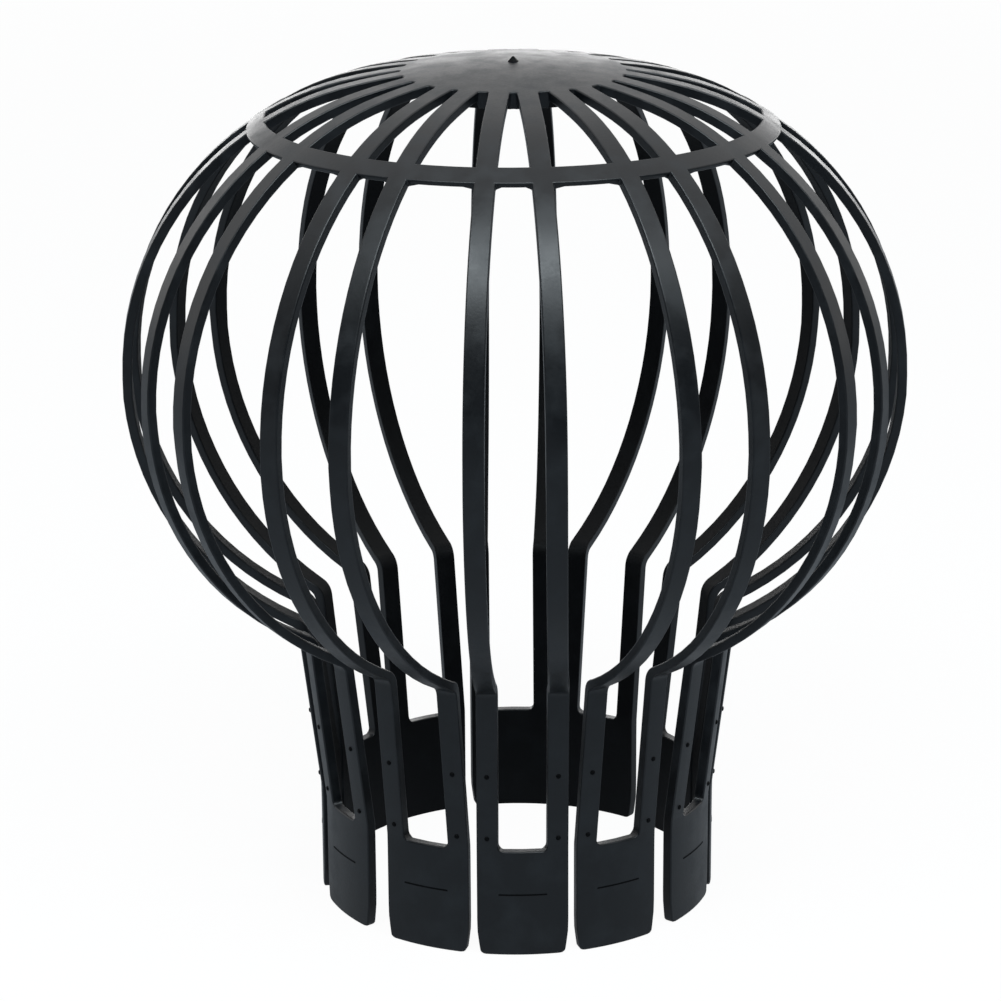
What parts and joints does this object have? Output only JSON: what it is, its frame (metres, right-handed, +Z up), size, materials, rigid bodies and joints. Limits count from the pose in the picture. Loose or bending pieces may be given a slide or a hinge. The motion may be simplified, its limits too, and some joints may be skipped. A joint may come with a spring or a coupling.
{
  "type": "downpipe leaf filter",
  "caption": "Balloon-shaped moulded plastic rib cage on spring fingers that plugs into the top of a rain downpipe and keeps leaves out.",
  "frame": {"origin": "centre of the spigot at the finger ends", "axes": "+Z up along the downpipe's axis, -Y towards the viewer of the picture"},
  "size_m": [0.1296, 0.1296, 0.144],
  "materials": {
    "black_plastic": "satin moulded black"
  },
  "bodies": {
    "root": {"leaf_filter": "black_plastic"}
  },
  "joints": []
}
